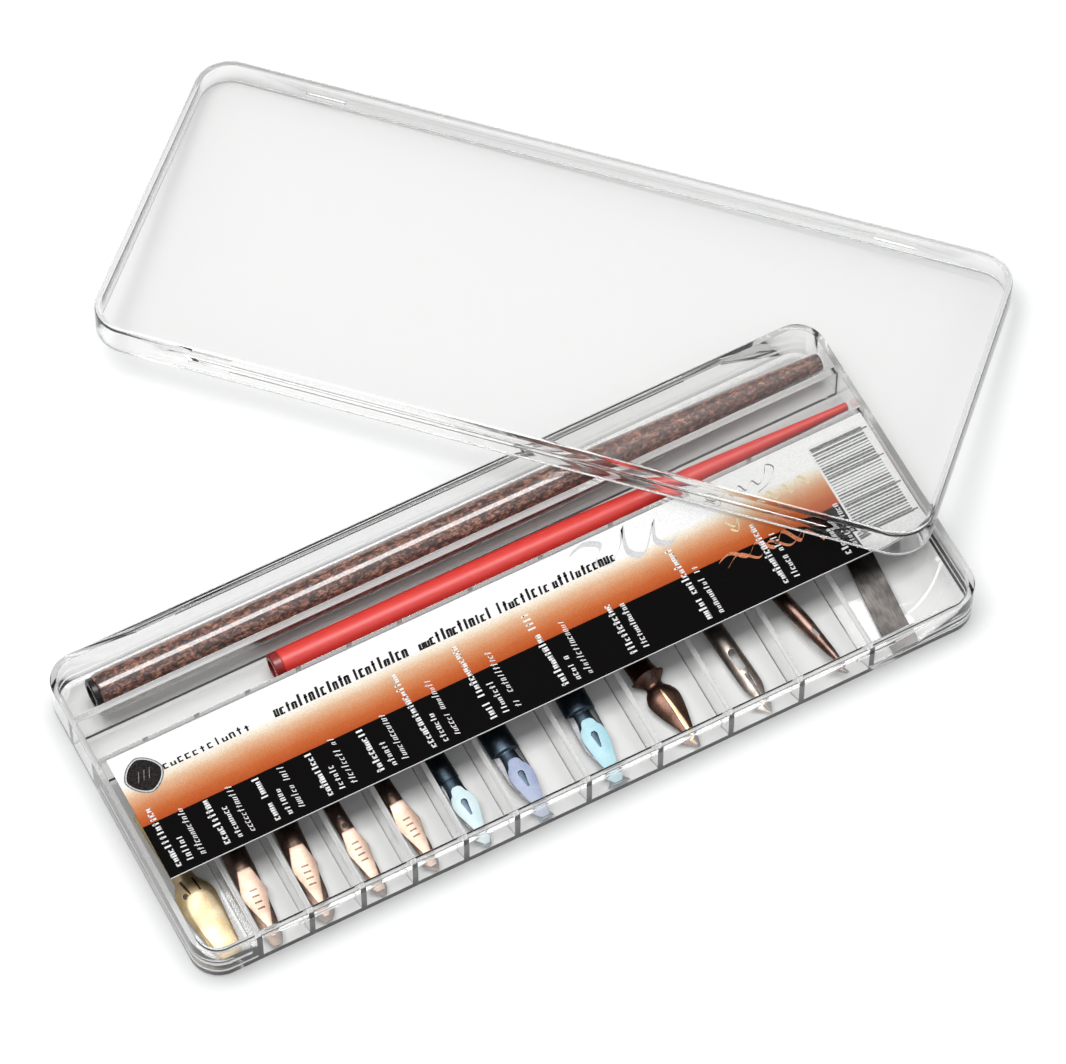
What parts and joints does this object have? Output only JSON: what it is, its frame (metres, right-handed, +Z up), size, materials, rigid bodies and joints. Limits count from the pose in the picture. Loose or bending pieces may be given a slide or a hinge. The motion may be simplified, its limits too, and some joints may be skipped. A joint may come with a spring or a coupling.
{
  "type": "calligraphy set box",
  "caption": "Clear tray and lid for a calligraphy set, with long troughs for pen holders and narrow cells for nibs under a printed card.",
  "frame": {"origin": "middle of the tray's underside, on the table", "axes": "+X along the tray, +Y across it towards the pen holders, +Z up"},
  "size_m": [0.2237, 0.1941, 0.0198],
  "materials": {
    "clear_tray": "clear polystyrene",
    "clear_lid": "clear polystyrene",
    "card": "white card printed with orange and black bands",
    "brown_lacquer": "marbled brown lacquer over wood",
    "black_collar": "gloss black",
    "spring_steel": "bright spring steel",
    "red_lacquer": "red lacquer over wood",
    "dark_red": "dark red",
    "poster_brass": "brass, satin",
    "bronze": "bronzed steel",
    "copper_plate": "copper-coloured plate",
    "blued_steel": "blued steel",
    "pale_blue_1": "pale blue plating",
    "grey_blue": "grey-blue plating",
    "pale_blue_3": "pale blue plating",
    "brown_steel": "browned steel with a golden tip",
    "school_steel": "bronzed bright steel",
    "mapping_steel": "bronzed bright steel",
    "strip_steel": "brushed grey steel"
  },
  "bodies": {
    "root": {"tray": "clear_tray", "poster_nib": "poster_brass", "poster_reservoir": "poster_brass", "tape_nib_1": "bronze", "tape_reservoir_1": "copper_plate", "tape_nib_2": "bronze", "tape_reservoir_2": "copper_plate", "tape_nib_3": "bronze", "tape_reservoir_3": "copper_plate", "tape_nib_4": "bronze", "tape_reservoir_4": "copper_plate", "ornamental_nib_1": "blued_steel", "ornamental_reservoir_1": "pale_blue_1", "ornamental_nib_2": "blued_steel", "ornamental_reservoir_2": "grey_blue", "ornamental_nib_3": "blued_steel", "ornamental_reservoir_3": "pale_blue_3", "crown_nib": "brown_steel", "school_nib": "school_steel", "mapping_nib": "mapping_steel", "steel_strip": "strip_steel"},
    "lid": {"lid": "clear_lid"},
    "card": {"card": "card"},
    "brown_holder": {"brown_handle": "brown_lacquer", "brown_collar": "black_collar", "brown_prongs": "spring_steel"},
    "red_holder": {"red_handle": "red_lacquer", "red_collar": "dark_red", "red_prongs": "spring_steel"}
  },
  "joints": [
    {"name": "lid_lift", "type": "slide", "parent": "root", "child": "lid", "axis": [0, 0, 1], "range_m": [0, 0.08]},
    {"name": "card_slide", "type": "slide", "parent": "root", "child": "card", "axis": [0, -1, 0], "range_m": [0, 0.015]},
    {"name": "brown_roll", "type": "hinge", "parent": "root", "child": "brown_holder", "pos_m": [0, 0.0293, 0.0056], "axis": [1, 0, 0], "continuous": true},
    {"name": "red_slide", "type": "slide", "parent": "root", "child": "red_holder", "axis": [-1, 0, 0], "range_m": [0, 0.041]}
  ]
}
